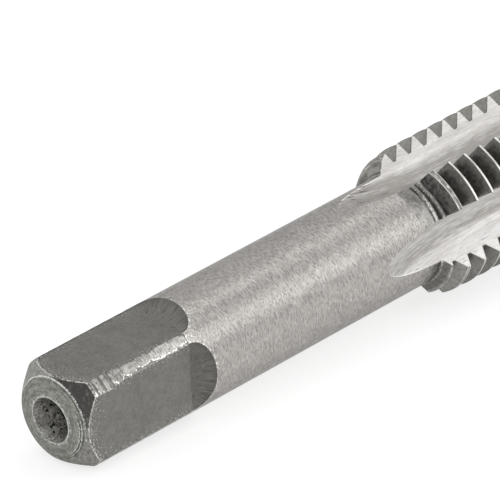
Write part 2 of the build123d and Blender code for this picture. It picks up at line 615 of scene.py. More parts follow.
    def runouts(self) -> Rings:
        """Run-outs of the mill: its circle, from the flats up to the edge where it leaves the shank."""
        flat, land, _ = self.around(column(self.flat_length))
        off_middle = flat - QUARTERS[:, None]
        cut = np.maximum(self.shank_radius * np.cos(off_middle) - self.half_across, 0)
        edge = self.mill_arc(cut)
        share = column(np.sin(np.linspace(0, 1, self.runout_rows) * math.pi / 2))
        flat_along = self.flat_length + (edge - self.flat_length) * share[..., None]
        run = flat_along - self.flat_length
        height = self.half_across + self.mill_radius - np.sqrt(self.mill_radius**2 - run**2)
        radius = height / np.cos(off_middle)
        land_along = np.full((len(share), *land.shape[1:]), self.flat_length)
        along = self.columns.joined(flat_along, land_along)
        across = radius * np.sin(off_middle)
        radius = self.columns.joined(radius, np.full_like(land_along, self.shank_radius))
        angle = self.columns.joined(flat, land, FULL_TURN)
        surface = self.columns.surfaces(np.full(len(share), Surface.FLAT_RUNOUT), np.array([Surface.SHANK]))
        surface = np.where(np.arange(len(share))[:, None] == len(share) - 1, Surface.SHANK, surface)
        fan = np.arctan2(across, flat_along - self.runout_fan) * 2.5
        reach = np.hypot(across, flat_along - self.runout_fan)
        cut = [self.columns.joined(v, np.zeros_like(land_along)) for v in (reach, fan)]
        # Painted shade: the run-outs darken towards the mill's edge, most towards their sides, and two of
        # them are dark from their start.
        runout_shade = share[..., None] ** 2 * (0.3 + 0.3 * ease(np.abs(across), 0.6, 2.6))
        runout_shade_start = np.array([0.0, 0.45, 0.0, 0.45])[:, None]
        scale = self.columns.joined(runout_shade_start + (1 - runout_shade_start) * runout_shade, np.zeros_like(land_along))
        rim = np.broadcast_to(share[..., None] == 1, flat_along.shape) * self.runout_burnish
        worn = self.columns.joined(rim, np.ones_like(land_along))
        return Rings.made(along, angle, radius, surface, scale, worn, tuple(cut))

    def mill_arc(self, cut: np.ndarray) -> np.ndarray:
        """Distance along the axis at which the mill's arc has risen by these depths of cut."""
        return self.flat_length + np.sqrt(self.mill_radius**2 - (self.mill_radius - cut) ** 2)


def radius_gap(flat: np.ndarray) -> np.ndarray:
    """Rough distance of the columns from their flat's nearer edge, in millimetres."""
    mean_radius = 4.4
    return mean_radius * np.minimum(flat - flat[..., :1], flat[..., -1:] - flat)


@dataclass(frozen=True)
class FlutedThread:
    """Threaded end: shoulder, thread, lead and point, with four flutes that run out into the shank."""

    columns: Columns
    shank_radius: float = 4.5
    shank_length: float = 37.45
    collar_start: float = 36.0
    overall_length: float = 67.0
    thread_radius: float = 6.0
    root_radius: float = 4.93
    pitch: float = 1.75
    crest_flat: float = 0.18
    half_flank: float = math.radians(30)
    thread_phase: float = 0.56
    shoulder: tuple[tuple[float, float], ...] = ((37.57, 4.5), (37.73, 4.54), (38.2, 5.35))
    rear_taper: tuple[tuple[float, float], ...] = ((38.9, 5.8), (39.93, 6.0))
    lead_length: float = 7.0
    point_radius: float = 4.9
    point_bevel: float = 0.3
    flute_angles: tuple[float, ...] = (0.0, math.radians(86), math.pi, math.radians(266))
    half_opening: float = math.radians(26.25)
    heel_opening: float = math.radians(24.2)
    web_radius: float = 2.9
    bottom_radius: float = 1.85
    cutter_radius: float = 36.0
    full_depth: float = 42.15
    rows_in_pitch: int = 12
    crest_strip: float = 0.055
    collar_rows: tuple[float, ...] = (36.7, 37.0, 37.3, 37.38, 37.5, 37.55)
    full_crest_slack: float = 0.02
    blunt_below: float = 5.66

    @property
    def centres(self) -> np.ndarray:
        """Angles of the flutes' middles, for arrays of shape (rows, 4)."""
        return np.array(self.flute_angles)

    @property
    def shoulder_end(self) -> float:
        """Where the steep shoulder ends and the slow rise behind the thread starts."""
        return self.shoulder[-1][0]

    @property
    def point_start(self) -> float:
        """Where the bevel of the point starts."""
        return self.overall_length - self.point_bevel

    @property
    def half_root(self) -> float:
        """Half the flat at the bottom of the groove."""
        depth = self.thread_radius - self.root_radius
        return (self.pitch - self.crest_flat) / 2 - depth * math.tan(self.half_flank)

    @property
    def thread_start(self) -> float:
        """Distance along the axis of the groove's middle at angle 0, in its first whole turn."""
        return self.shank_length + self.thread_phase

    def blank(self, along: np.ndarray) -> np.ndarray:
        """Radius of the turned body before the thread is cut: straight lines between its corners."""
        lead = (self.overall_length - self.lead_length, self.thread_radius)
        point = (self.point_start, self.point_radius)
        end = (self.overall_length, self.point_radius - self.point_bevel)
        places, radii = zip(*self.shoulder, *self.rear_taper, lead, point, end)
        return np.interp(along, places, radii)

    def groove(self, along: np.ndarray, angle: np.ndarray) -> np.ndarray:
        """Radius of the groove: its root flat, then a slope of the flank angle on both sides of it."""
        turns = (along - self.thread_start) / self.pitch - angle / (FULL_TURN)
        nearest = np.maximum(np.round(turns), -1)
        off = np.abs(turns - nearest) * self.pitch
        return self.root_radius + np.maximum(off - self.half_root, 0) / math.tan(self.half_flank)

    def outside(self, along: np.ndarray, angle: np.ndarray) -> np.ndarray:
        """Radius of a land: the blank or the groove, whichever lies nearer to the axis."""
        cut = np.where(along > self.shank_length, self.groove(along, angle), np.inf)
        return np.minimum(self.blank(along), cut)

    def shoulder_top(self, angle: np.ndarray) -> np.ndarray:
        """Where the shoulder meets the first groove, or its own end if that comes first."""

        def met(along: np.ndarray) -> np.ndarray:
            return self.blank(along) > self.groove(along, angle)

        low = np.full(np.shape(angle), self.shoulder[0][0])
        return settle(low, np.full(np.shape(angle), self.shoulder_end), met)

    def section(self, across: np.ndarray) -> tuple[np.ndarray, np.ndarray]:
        """One flute's section at full depth: a radial cutting face, a round bottom and a sloping heel.

        Args:
            across: Distance along the section, from the foot of the cutting face; the face is below zero.

        Returns:
            Offset to the side of the flute's middle and height above the axis.
        """
        height = self.web_radius + self.bottom_radius
        sine, cosine = math.sin(self.half_opening), math.cos(self.half_opening)
        side = (self.bottom_radius - height * sine) / cosine
        run = self.thread_radius * math.sin(self.heel_opening) - side
        rise = self.thread_radius * math.cos(self.heel_opening) - height
        heel = math.atan2(rise, run) + math.asin(self.bottom_radius / math.hypot(run, rise))
        face_turn = -(math.pi / 2 - self.half_opening)
        arc = (heel - face_turn) * self.bottom_radius
        turn = face_turn + np.clip(across, 0, arc) / self.bottom_radius
        up_face = np.maximum(-across, 0)
        up_heel = np.maximum(across - arc, 0)
        offset = side + self.bottom_radius * np.sin(turn) - up_face * sine + up_heel * math.cos(heel)
        above = height - self.bottom_radius * np.cos(turn) + up_face * cosine + up_heel * math.sin(heel)
        return offset, above

    def flute(self, across: np.ndarray, along: np.ndarray) -> tuple[np.ndarray, np.ndarray]:
        """A flute's surface: its section, lifted behind full depth along the disc cutter's circle.

        Args:
            across: Distance along the section.
            along: Distance along the axis.

        Returns:
            Angle from the flute's middle and radius.
        """
        offset, above = self.section(across)
        behind = np.maximum(self.full_depth - along, 0)
        disc = self.web_radius + self.cutter_radius
        above = disc - np.sqrt(np.maximum((disc - above) ** 2 - behind**2, 0))
        return np.arctan2(offset, above), np.hypot(offset, above)

    def lowest(self, along: np.ndarray) -> np.ndarray:
        """Place along the section at which a flute comes nearest to the axis."""
        tries = np.linspace(0, 4, 801)
        _, radius = self.flute(tries, np.asarray(along)[..., None])
        return tries[np.argmin(radius, axis=-1)]

    def meet(self, along: np.ndarray, radius: np.ndarray, side: int) -> np.ndarray:
        """Place along the section at which a flute leaves the land, on one side of its lowest line."""
        low = self.lowest(along)
        return settle(low, low + side * 9.0, lambda across: self.flute(across, along)[1] > radius)

    def tip(self) -> float:
        """Where the flutes start in the shank, seen from the square."""

        def sunk(along: np.ndarray) -> np.ndarray:
            return self.flute(self.lowest(along), along)[1] < self.shank_radius

        return float(settle(np.array([25.0]), np.array([self.shank_length]), sunk)[0])

    def phase_lines(self, along: np.ndarray, index: np.ndarray) -> np.ndarray:
        """Places of the rows within one pitch, in turns: root, flank, crest and flank.

        Args:
            along: Distances along the axis, which give the width that the blank leaves to a crest.
            index: Row numbers from 0 to 11 within the pitch.

        Returns:
            Turns from the middle of the groove, of the arrays' shape.
        """
        top = np.clip(self.blank(np.maximum(along, self.shoulder_end)), self.root_radius + 0.08, None)
        root = self.half_root / self.pitch
        crest = root + (top - self.root_radius) * math.tan(self.half_flank) / self.pitch
        strip = np.minimum(self.crest_strip / self.pitch, (0.5 - crest) / 2)
        third = (crest - root) / 3
        half = np.full_like(crest, 0.5)
        rising = [np.full_like(crest, -root), 0 * half, 0 * half + root, root + third, root + 2 * third]
        flat = [crest, crest + strip, half, 1 - crest - strip]
        falling = [1 - crest, 1 - crest + third, 1 - crest + 2 * third]
        return np.choose(index, [*rising, *flat, *falling])

    def helix(self, index: np.ndarray, land: np.ndarray, angle: np.ndarray) -> np.ndarray:
        """Places of rows that follow the thread and move on by a quarter of a pitch from land to land.

        Args:
            index: Row numbers, of shape (rows, 1, ...).
            land: Numbers of the lands, of shape (4, ...).
            angle: Angles of the points, of shape (rows, 4, ...).

        Returns:
            Distances along the axis, held between the shoulder's top and the point's bevel.
        """
        number, land, angle = np.broadcast_arrays(index, land, angle)
        number = number - land * (self.rows_in_pitch // 4)
        whole, within = np.divmod(number, self.rows_in_pitch)
        turns = whole + angle / (FULL_TURN)
        along = self.thread_start + self.pitch * (turns + within / self.rows_in_pitch)
        for _ in range(6):
            along = self.thread_start + self.pitch * (turns + self.phase_lines(along, within))
        return np.clip(along, self.shoulder_top(angle), self.point_start)

    def rings(self, place: Callable[[np.ndarray, np.ndarray], np.ndarray], lands: np.ndarray) -> Rings:
        """Rows across the flutes and lands. The flutes' edges are found where their section meets the lands.

        Args:
            place: Gives the rows' distances along the axis from the lands' numbers and the points' angles.
            lands: Surface of the lands' strips in each row.

        Returns:
            The rows.
        """
        number = np.arange(4)
        middle = self.centres[None, :]
        face_angle = middle - self.half_opening
        heel_angle = middle + self.half_opening
        for _ in range(9):
            face_along = place(number - 1, face_angle)
            heel_along = place(number, heel_angle)
            face = self.meet(face_along, self.outside(face_along, face_angle), -1)
            heel = self.meet(heel_along, self.outside(heel_along, heel_angle), 1)
            face_angle = middle + self.flute(face, face_along)[0]
            heel_angle = middle + self.flute(heel, heel_along)[0]
        share = np.linspace(0, 1, self.columns.flutes + 1)
        across = face[..., None] + (heel - face)[..., None] * share
        flute_along = face_along[..., None] + (heel_along - face_along)[..., None] * share
        flute_angle, flute_radius = self.flute(across, flute_along)
        flute_angle = flute_angle + middle[..., None]
        end_angle = np.roll(face_angle, -1, axis=1) + np.array([0, 0, 0, FULL_TURN])
        share = np.linspace(0, 1, self.columns.lands + 1)
        land_angle = heel_angle[..., None] + (end_angle - heel_angle)[..., None] * share
        land_along = place(number[:, None], land_angle)
        land_radius = self.outside(land_along, land_angle)
        along = self.columns.joined(flute_along, land_along)
        angle = self.columns.joined(flute_angle, land_angle, FULL_TURN)
        radius = self.columns.joined(flute_radius, land_radius)
        surface = self.columns.surfaces(np.full(len(lands), Surface.FLUTE), lands)
        lines = across + 20.0 * number[:, None]
        lines = self.columns.joined(lines, np.zeros_like(land_along))
        # Painted shade along the flutes, heaviest over their round bottoms.
        scale = self.columns.joined(self.dullness(across), np.zeros_like(land_along))
        return Rings.made(along, angle, radius, surface, scale, cut=(along, lines))

    def dullness(self, across: np.ndarray) -> np.ndarray:
        """Painted shade of the flutes along their section: one pair from the bottom on, the other up to its
        end.

        The places are counted as turns of the round bottom, in radians from the foot of the cutting face.
        """
        turn = across / self.bottom_radius
        first = 0.4 + 0.57 * ease(turn[:, ::2], 0, 0.42)
        bottom = 0.53 + 0.37 * ease(turn[:, 1::2], 0.75, 1.3)
        second = bottom * (1 - ease(turn[:, 1::2], 1.45, 2.3)) + 0.05 * ease(turn[:, 1::2], 2.0, 2.4)
        return np.stack([first, second], axis=2).reshape(across.shape)

    def collar_edge(self, angle: np.ndarray) -> np.ndarray:
        """Where grinding of the shank stopped: a wavy line, the sum of two sines round the axis."""
        return self.collar_start + 0.05 * np.sin(2 * angle + 4.2) + 0.03 * np.sin(7 * angle)

    def runouts(self) -> Rings:
        """Flutes' run-outs in the shank, with rows closer towards the tip, where a flute widens fastest."""
        tip = self.tip()
        rows = tip + (self.collar_start - 0.4 - tip) * np.linspace(0, 1, 24) ** 2
        edge_rows = np.linspace(rows[-1], self.collar_start + 0.4, 14)[1:]
        rows = column([*rows, *edge_rows, *self.collar_rows])
        rings = self.rings(square_rows(rows), np.full(len(rows), Surface.SHANK))
        beyond = rings.along[:, :-1] > self.collar_edge(rings.angle[:, :-1])
        surface = np.where(beyond & (rings.surface == Surface.SHANK), Surface.COLLAR, rings.surface)
        line = Band(*self.collar_rows[-4:]).share(rings.along)
        line = line * (0.6 + 0.35 * np.sin(11 * rings.angle) * np.sin(5 * rings.angle + 1))
        # Painted shade on the collar, over its scale: darker towards the top of the middle land, and darker
        # where it faces down on the low land.
        top = (1 - ease(np.degrees(rings.angle), 24, 56)) * (rings.along > self.collar_start)
        shade_and_skin = (0.42 + 0.25 * ease(rings.along, 36.4, 37.4)) * ease(rings.along, 36.05, 36.35)
        under = LOW_LAND.share(np.degrees(rings.angle))
        on_land = self.on_land(rings)
        scale = np.clip(line * (1 - under) + 0.45 * top + shade_and_skin * under, 0, 1) * on_land
        upper = rings.angle < 0.9
        dull = np.where(upper, 0.4, 0.25) * (1 - ease(rings.along, tip + 1, tip + 6))
        # The flutes keep their painted shade here, and are darker near their tips.
        scale = np.maximum(scale, np.maximum(rings.scale_left, dull) * (1 - on_land))
        near_tip = (1 - ease(rings.along, tip + 3, tip + 8)) * np.clip(rings.scale_left * 1.5, 0, 1)
        near_tip = near_tip * np.where(upper, 1, 0.5)
        return rings.dressed(surface, scale, near_tip)

    def on_land(self, rings: Rings) -> np.ndarray:
        """1 at the points of the lands and their edges, and 0 in the flutes."""
        place = np.arange(rings.along.shape[1]) % (self.columns.flutes + self.columns.lands)
        return ((place >= self.columns.flutes) | (place == 0)).astype(float)[None, :]

    def wall(self) -> Rings:
        """The shoulder: rows at its corners and between them, held back where the first groove cuts in."""
        foot, step, _ = (along for along, _ in self.shoulder)
        rows = np.array([foot, (foot + step) / 2, *np.linspace(step, self.shoulder_end, 7)[:-1]])

        def place(_: np.ndarray, angle: np.ndarray) -> np.ndarray:
            """The rows' own places, or the shoulder's top if that comes first."""
            return np.minimum(spread_rows(rows, angle), self.shoulder_top(angle))

        rings = self.rings(place, np.where(rows < step, Surface.WORN_EDGE, Surface.THREAD))
        return self.skinned(rings, rings.surface)

    def skinned(self, rings: Rings, surface: np.ndarray) -> Rings:
        """Gives the thread dark scale and painted shade, thickest on the middle land, and the shoulder its
        worn ridge.
        """
        angle = np.degrees(rings.angle)
        middle_land_shade, low_land, back_land = (
            land.share(angle) for land in (MIDDLE_LAND, LOW_LAND, BACK_LAND)
        )
        on_land = self.on_land(rings)
        top = self.shoulder_top(rings.angle)
        wall = 1 - ease(rings.along - top, -0.03, 0.0)
        behind = 1 - ease(rings.along, 38.4, 39.2)
        ridge = 1 - ease(np.abs(rings.along - top - 0.04), 0.06, 0.2)
        top_land = ease(angle, 280, 290)
        # Painted shade: the middle land's flanks are darker, where they mirror each other.
        scale = 0.1 + 0.5 * middle_land_shade + 0.08 * low_land + 0.35 * back_land + 0.2 * wall
        scale += (0.2 + 0.1 * middle_land_shade + 0.02 * low_land + 0.1 * top_land) * behind
        scale += 0.25 * low_land * ease(rings.along, 39.2, 41.2)
        foot = rings.along < self.shoulder[1][0] + 0.01
        scale = np.where(foot, 0, scale * (1 - 0.9 * ridge)) * on_land
        scale = np.maximum(scale, rings.scale_left)
        burnished = (0.4 + 0.45 * ease(angle, 25, 55)) * (1 - 0.45 * ease(angle, 80, 105))
        scale = np.where(foot, np.maximum(scale, 0.3 * low_land * on_land), scale)
        worn = np.where(foot, burnished, 0.5 * ridge * (1 - 0.7 * top_land)) * on_land
        return rings.dressed(surface, scale, worn)

    def thread(self) -> Rings:
        """The thread, in rows along its helix from behind the first groove to the point's bevel."""
        turns = (self.point_start - self.thread_start) / self.pitch
        rows = np.arange(-self.rows_in_pitch // 2 - 2, math.ceil((turns + 0.3) * self.rows_in_pitch))

        def place(land: np.ndarray, angle: np.ndarray) -> np.ndarray:
            """The rows' places on the helix."""
            return self.helix(spread_rows(rows, angle), land, angle)

        rings = self.rings(place, np.full(len(rows), Surface.THREAD))
        surface = rings.surface.reshape(len(rows), 4, -1).copy()
        within = (rows[:, None] - np.arange(4) * (self.rows_in_pitch // 4)) % self.rows_in_pitch
        along = rings.along[:, :-1].reshape(len(rows), 4, -1)[..., self.columns.flutes :]
        land = surface[..., self.columns.flutes :]
        crest = ((within >= 5) & (within <= 8))[..., None]
        edge = ((within == 5) | (within == 8))[..., None]
        blank = self.blank(along)
        full = blank > self.thread_radius - self.full_crest_slack
        behind = along < self.overall_length / 2 + 10
        low = blank < self.blunt_below
        blunt = crest & ~full & behind & (~edge | low)
        land[...] = np.where(crest, Surface.CREST, land)
        land[...] = np.where(blunt, Surface.BLUNT_CREST, land)
        land[:, 1] = np.where(blunt[:, 1], Surface.COLLAR, land[:, 1])
        return self.skinned(rings, surface.reshape(len(rows), -1))

    def point(self) -> Rings:
        """Small bevel of the point, out to the flat end."""
        rows = column([self.point_start, self.overall_length])

        return self.rings(square_rows(rows), np.full(len(rows), Surface.POINT))


@dataclass(frozen=True)
class TapBody:
    """The whole tap as one closed mesh of rings, from the bottom of the centre hole to the point."""

    columns: Columns = field(default_factory=Columns)
    blend_row: float = 13.2

    @property
    def square(self) -> DrivingSquare:
        """The driving square."""
        return DrivingSquare(self.columns)

    @property
    def thread(self) -> FlutedThread:
        """The threaded end."""
        return FlutedThread(self.columns)

    def shank(self) -> Rings:
        """Round shank. Its columns pass smoothly from the square's angles to the flutes' tips."""
        square, thread = self.square, self.thread
        tip = thread.tip()
        flat, land, _ = square.around(column(self.blend_row))
        start = self.columns.joined(flat, land, FULL_TURN)
        low = thread.flute(thread.lowest(np.array([tip])), np.array([tip]))[0]
        tips = (thread.centres + low)[None, :, None]
        ends = np.roll(tips, -1, axis=1) + np.array([0, 0, 0, FULL_TURN])[:, None]
        even = np.linspace(0, 1, self.columns.lands + 1)
        closed = np.broadcast_to(tips, (1, 4, self.columns.flutes + 1))
        end = self.columns.joined(closed, tips + (ends - tips) * even, FULL_TURN)
        along = column(np.linspace(self.blend_row, tip, 24)[:-1])
        angle = start + (end - start) * ease(along, self.blend_row, tip)
        return Rings.made(along, angle, square.shank_radius, np.array(Surface.SHANK))

    def rings(self) -> Rings:
        """All the rows, in order."""
        square, thread = self.square, self.thread
        parts = [square.hole(), square.end_face(), square.bevel(), square.flats(), square.runouts()]
        parts += [self.shank(), thread.runouts(), thread.wall(), thread.thread(), thread.point()]
        return Rings.stacked(parts)

    def mesh(self, place: TapFrame) -> bpy.types.Mesh:
        """Makes the mesh: one face between two rows and columns, with points that coincide joined.

        Args:
            place: The tap's own frame.

        Returns:
            The closed mesh, with a material number for each face and the painted values at each point.
        """
        rings = self.rings()
        points = place.points(rings.along, rings.angle, rings.radius)
        rows, columns = rings.along.shape
        points[:, -1] = points[:, 0]
        keys = np.round(points.reshape(-1, 3) / (MILLIMETRE * WELD_GRID)).astype(np.int64)
        _, first, same = np.unique(keys, axis=0, return_index=True, return_inverse=True)
        number = same.reshape(rows, columns)
        corners = np.stack([number[:-1, :-1], number[:-1, 1:], number[1:, 1:], number[1:, :-1]], axis=-1)
        corners = corners.reshape(-1, 4)
        kept = corners != np.roll(corners, -1, axis=1)
        surface = rings.surface[:-1].reshape(-1)
        real = kept.sum(axis=1) >= 3
        corners, kept, surface = corners[real], kept[real], surface[real]
        end = number[-1, :-1]
        end = end[end != np.roll(end, -1)]
        loops = np.concatenate([corners[kept], end])
        sizes = np.concatenate([kept.sum(axis=1), [len(end)]])
        surface = np.concatenate([surface, [Surface.POINT]])
        mesh = bpy.data.meshes.new("thread_tap_body")
        mesh.vertices.add(len(first))
        mesh.loops.add(len(loops))
        mesh.polygons.add(len(sizes))
        mesh.vertices.foreach_set("co", points.reshape(-1, 3)[first].astype(np.float32).ravel())
        mesh.loops.foreach_set("vertex_index", loops.astype(np.int32))
        mesh.polygons.foreach_set("loop_start", (np.cumsum(sizes) - sizes).astype(np.int32))
        mesh.polygons.foreach_set("material_index", surface.astype(np.int32))
        mesh.polygons.foreach_set("use_smooth", np.ones(len(sizes), bool))
        mesh.update(calc_edges=True)
        for name in ("scale_left", "worn", "along_cut", "across_cut"):
            values = np.asarray(getattr(rings, name)).reshape(-1)[first]
            mesh.attributes.new(name, "FLOAT", "POINT").data.foreach_set("value", values.astype(np.float32))
        mesh.validate()
        self.crease(mesh)
        return mesh

    def crease(self, mesh: bpy.types.Mesh) -> None:
        """Marks the edges that shade sharp: steep bends, and borders between different surfaces."""
        mesh.set_sharp_from_angle(angle=SHARP_BEND)
        edges = np.empty(len(mesh.loops), np.int32)
        mesh.loops.foreach_get("edge_index", edges)
        sizes = np.empty(len(mesh.polygons), np.int32)
        mesh.polygons.foreach_get("loop_total", sizes)
        surface = np.empty(len(mesh.polygons), np.int32)
        mesh.polygons.foreach_get("material_index", surface)
        for one, other in SMOOTH_PAIRS:
            surface[surface == other] = one
        of_loop = np.repeat(surface, sizes)
        lowest = np.full(len(mesh.edges), 99)
        highest = np.full(len(mesh.edges), -1)
        np.minimum.at(lowest, edges, of_loop)
        np.maximum.at(highest, edges, of_loop)
        sharp = mesh.attributes["sharp_edge"]
        marked = np.empty(len(mesh.edges), bool)
        sharp.data.foreach_get("value", marked)
        sharp.data.foreach_set("value", marked | (lowest != highest))
        mesh.update()


def linear(colour: str) -> tuple[float, float, float, float]:
    """Turns an sRGB hex colour into linear light.

    Args:
        colour: Six hex digits.

    Returns:
        Red, green, blue and an alpha of 1.
    """
    parts = [int(colour[i : i + 2], 16) / 255 for i in (0, 2, 4)]
    red, green, blue = (p / 12.92 if p <= 0.04045 else ((p + 0.055) / 1.055) ** 2.4 for p in parts)
    return red, green, blue, 1.0


def add_node(
    tree: bpy.types.NodeTree, kind: str, inputs: dict | None = None, **settings: object
) -> bpy.types.Node:
    """Adds one node.

    Args:
        tree: The tree that gets it.
        kind: The node's type.
        inputs: Values or sockets for its inputs, by name or number.
        **settings: The node's own properties.

    Returns:
        The node.
    """
    node = tree.nodes.new(kind)
    for name, value in settings.items():
        setattr(node, name, value)
    for key, value in (inputs or {}).items():
        if isinstance(value, bpy.types.NodeSocket):
            tree.links.new(value, node.inputs[key])
        else:
            node.inputs[key].default_value = value
    return node


def fresh_tree(owner: bpy.types.ID) -> bpy.types.NodeTree:
    """Turns on the nodes of a material or world and clears them."""
    owner.use_nodes = True
    owner.node_tree.nodes.clear()
    return owner.node_tree


def add_object(name: str, data: bpy.types.ID) -> bpy.types.Object:
    """Makes an object and links it to the scene."""
    made = bpy.data.objects.new(name, data)
    bpy.context.scene.collection.objects.link(made)
    return made


@dataclass(frozen=True)
class Grain:
    """One layer of noise on a surface: its size along the axis and across it, in millimetres."""

    along: float
    across: float
    detail: float = 2.0

    def value(self, tree: bpy.types.NodeTree, coordinates: bpy.types.NodeSocket) -> bpy.types.NodeSocket:
        """Adds the noise, which is about 0.5 on average, and gives its output."""
        stretch = (1 / self.along, 1 / self.across, 1 / self.across)
        inputs = {0: coordinates, 1: stretch}
        place = add_node(tree, "ShaderNodeVectorMath", inputs, operation="MULTIPLY").outputs[0]
        noise = {"Vector": place, "Scale": 1.0, "Detail": self.detail, "Roughness": 0.55}
        return add_node(tree, "ShaderNodeTexNoise", noise).outputs[0]


@dataclass(frozen=True)
class Flecks:
    """Sparse spots of another colour: pits, scratches or bare metal where a noise passes a threshold.

    Wear adds to the noise, so worn places get more of them.
    """

    grain: Grain
    colour: str
    threshold: float
    by_wear: float = 0.0
    soft: float = 0.05


@dataclass(frozen=True)
class SteelFinish:
    """A finish of tool steel, made of a fine grain, a broad mottle, flecks and bare metal's gloss.

    The grain and the mottle each shift the colour from the dark to the light one, and the grain also
    changes the gloss and the relief. Scale that is left, and painted shade, pull the colour to the scale's
    own.
    """

    name: str
    dark: str
    light: str
    roughness: float
    grain: Grain
    mottle: Grain
    grain_share: float = 0.6
    spread: float = 0.2
    gloss_change: float = 0.06
    relief: float = 0.0
    edge_tint: float = 0.68
    scale_colour: str | None = None
    rings: bool = False
    follows_cut: bool = False
    flecks: tuple[Flecks, ...] = ()

    def coordinates(self, tree: bpy.types.NodeTree, place: TapFrame) -> bpy.types.NodeSocket:
        """Millimetres along and across the axis, or the cutter's lines, or rings by distance from it."""
        if self.follows_cut:
            lines = [
                add_node(tree, "ShaderNodeAttribute", attribute_name=name).outputs["Fac"]
                for name in ("along_cut", "across_cut")
            ]
            return add_node(tree, "ShaderNodeCombineXYZ", {0: lines[0], 1: lines[1]}).outputs[0]
        own = add_node(tree, "ShaderNodeTexCoord").outputs["Object"]
        own = add_node(tree, "ShaderNodeMapping", {"Vector": own, **place.own_coordinates()}).outputs[0]
        if not self.rings:
            return own
        flat = add_node(tree, "ShaderNodeVectorMath", {0: own, 1: (0.0, 1.0, 1.0)}, operation="MULTIPLY")
        far = add_node(tree, "ShaderNodeVectorMath", {0: flat.outputs[0]}, operation="LENGTH")
        parts = add_node(tree, "ShaderNodeSeparateXYZ", {0: own}).outputs
        turned = add_node(tree, "ShaderNodeCombineXYZ", {0: far.outputs["Value"], 1: parts[1], 2: parts[2]})
        return turned.outputs[0]

    def mixed(
        self,
        tree: bpy.types.NodeTree,
        amount: bpy.types.NodeSocket,
        under: bpy.types.NodeSocket | tuple,
        over: str,
    ) -> bpy.types.NodeSocket:
        """Lays a colour over another by an amount and gives the result."""
        colours = {0: amount, 6: under, 7: linear(over)}
        return add_node(tree, "ShaderNodeMix", colours, data_type="RGBA").outputs[2]

    def material(self, place: TapFrame) -> bpy.types.Material:
        """Builds the material.

        Args:
            place: The tap's own frame, on which the patterns lie.

        Returns:
            The material.
        """
        made = bpy.data.materials.new(self.name)
        tree = fresh_tree(made)
        own = self.coordinates(tree, place)
        grain = self.grain.value(tree, own)
        mottle = self.mottle.value(tree, own)
        both = {0: self.grain_share, 2: mottle, 3: grain}
        tone = add_node(tree, "ShaderNodeMix", both, data_type="FLOAT").outputs[0]
        spread = {"Value": tone, "From Min": 0.5 - self.spread, "From Max": 0.5 + self.spread}
        tone = add_node(tree, "ShaderNodeMapRange", spread).outputs[0]
        colour = self.mixed(tree, tone, linear(self.dark), self.light)
        # Scale that is left, and painted shade, pull the colour to the scale's colour.
        if self.scale_colour:
            left = add_node(tree, "ShaderNodeAttribute", attribute_name="scale_left").outputs["Fac"]
            uneven = {"Value": tone, "To Min": 1.25, "To Max": 0.75}
            factors = {0: left, 1: add_node(tree, "ShaderNodeMapRange", uneven).outputs[0]}
            left = add_node(tree, "ShaderNodeMath", factors, operation="MULTIPLY", use_clamp=True)
            colour = self.mixed(tree, left.outputs[0], colour, self.scale_colour)
        worn = add_node(tree, "ShaderNodeAttribute", attribute_name="worn").outputs["Fac"]
        for fleck in self.flecks:
            noise = fleck.grain.value(tree, own)
            raised = {0: worn, 1: fleck.by_wear, 2: noise}
            raised = add_node(tree, "ShaderNodeMath", raised, operation="MULTIPLY_ADD").outputs[0]
            edge = {"Value": raised, "From Min": fleck.threshold, "From Max": fleck.threshold + fleck.soft}
            mask = add_node(tree, "ShaderNodeMapRange", edge).outputs[0]
            colour = self.mixed(tree, mask, colour, fleck.colour)
        gloss = {
            "Value": grain,
            "From Min": 0.3,
            "From Max": 0.7,
            "To Min": self.roughness - self.gloss_change,
            "To Max": self.roughness + self.gloss_change,
        }
        gloss = add_node(tree, "ShaderNodeMapRange", gloss).outputs[0]
        shader = add_node(tree, "ShaderNodeBsdfPrincipled", {"Base Color": colour, "Roughness": gloss})
        shader.inputs["Metallic"].default_value = 1.0
        shader.inputs["Specular Tint"].default_value = (*(self.edge_tint,) * 3, 1.0)
        if self.relief:
            bump = {"Height": grain, "Distance": self.relief * MILLIMETRE, "Strength": 1.0}
            normal = add_node(tree, "ShaderNodeBump", bump).outputs[0]
            tree.links.new(normal, shader.inputs["Normal"])
        add_node(tree, "ShaderNodeOutputMaterial", {"Surface": shader.outputs[0]})
        return made


